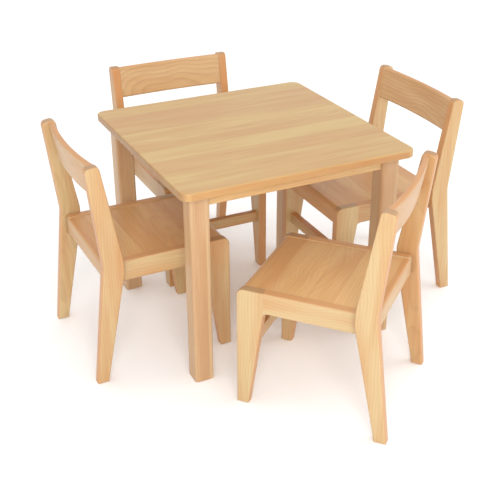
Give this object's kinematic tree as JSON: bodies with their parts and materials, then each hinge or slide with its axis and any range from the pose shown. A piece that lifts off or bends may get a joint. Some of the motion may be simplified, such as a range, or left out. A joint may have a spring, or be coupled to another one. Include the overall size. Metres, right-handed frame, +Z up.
{
  "type": "kids table and chairs",
  "caption": "Low square solid-wood table with rounded corners, with low matching stacking chairs that have curved backrests.",
  "frame": {"origin": "on the floor, at the centre of the footprint of the whole set", "axes": "+Z up; +X to the right and +Y to the back, square to the table's sides"},
  "size_m": [1.2138, 1.4104, 0.643],
  "materials": {
    "beech_top": "clear satin lacquer over glued beech staves",
    "beech_strips": "clear satin lacquer over beech strips of two tones",
    "beech_frame": "clear satin lacquer",
    "beech_panel": "clear satin lacquer over glued beech boards",
    "beech_dowel": "bare turned beech",
    "zinc_steel": "bright zinc plated"
  },
  "bodies": {
    "table": {"table_top": "beech_top", "table_leg_front_left": "beech_strips", "table_leg_front_right": "beech_strips", "table_leg_back_right": "beech_strips", "table_leg_back_left": "beech_strips", "table_apron_front": "beech_frame", "table_apron_right": "beech_frame", "table_apron_back": "beech_frame", "table_apron_left": "beech_frame", "table_corner_blocks": "beech_frame", "table_coach_screws": "zinc_steel", "table_top_screws": "zinc_steel"},
    "left_chair": {"left_chair_left_front_leg": "beech_frame", "left_chair_left_side_rail": "beech_frame", "left_chair_left_rear_post": "beech_frame", "left_chair_right_front_leg": "beech_frame", "left_chair_right_side_rail": "beech_frame", "left_chair_right_rear_post": "beech_frame", "left_chair_seat_panel": "beech_panel", "left_chair_front_rail": "beech_frame", "left_chair_rear_rail": "beech_frame", "left_chair_front_stretcher": "beech_frame", "left_chair_backrest": "beech_panel", "left_chair_dowels": "beech_dowel"},
    "back_chair": {"back_chair_left_front_leg": "beech_frame", "back_chair_left_side_rail": "beech_frame", "back_chair_left_rear_post": "beech_frame", "back_chair_right_front_leg": "beech_frame", "back_chair_right_side_rail": "beech_frame", "back_chair_right_rear_post": "beech_frame", "back_chair_seat_panel": "beech_panel", "back_chair_front_rail": "beech_frame", "back_chair_rear_rail": "beech_frame", "back_chair_front_stretcher": "beech_frame", "back_chair_backrest": "beech_panel", "back_chair_dowels": "beech_dowel"},
    "right_chair": {"right_chair_left_front_leg": "beech_frame", "right_chair_left_side_rail": "beech_frame", "right_chair_left_rear_post": "beech_frame", "right_chair_right_front_leg": "beech_frame", "right_chair_right_side_rail": "beech_frame", "right_chair_right_rear_post": "beech_frame", "right_chair_seat_panel": "beech_panel", "right_chair_front_rail": "beech_frame", "right_chair_rear_rail": "beech_frame", "right_chair_front_stretcher": "beech_frame", "right_chair_backrest": "beech_panel", "right_chair_dowels": "beech_dowel"},
    "front_chair": {"front_chair_left_front_leg": "beech_frame", "front_chair_left_side_rail": "beech_frame", "front_chair_left_rear_post": "beech_frame", "front_chair_right_front_leg": "beech_frame", "front_chair_right_side_rail": "beech_frame", "front_chair_right_rear_post": "beech_frame", "front_chair_seat_panel": "beech_panel", "front_chair_front_rail": "beech_frame", "front_chair_rear_rail": "beech_frame", "front_chair_front_stretcher": "beech_frame", "front_chair_backrest": "beech_panel", "front_chair_dowels": "beech_dowel"}
  },
  "joints": [
    {"name": "left_chair_slide", "type": "slide", "parent": "table", "child": "left_chair", "axis": [-1, -0.0087, 0], "range_m": [0, 0.35]},
    {"name": "back_chair_slide", "type": "slide", "parent": "table", "child": "back_chair", "axis": [0, 1, 0], "range_m": [0, 0.35]},
    {"name": "right_chair_slide", "type": "slide", "parent": "table", "child": "right_chair", "axis": [0.9999, -0.0157, 0], "range_m": [0, 0.35]},
    {"name": "front_chair_slide", "type": "slide", "parent": "table", "child": "front_chair", "axis": [0.6561, -0.7547, 0], "range_m": [0, 0.35]}
  ]
}
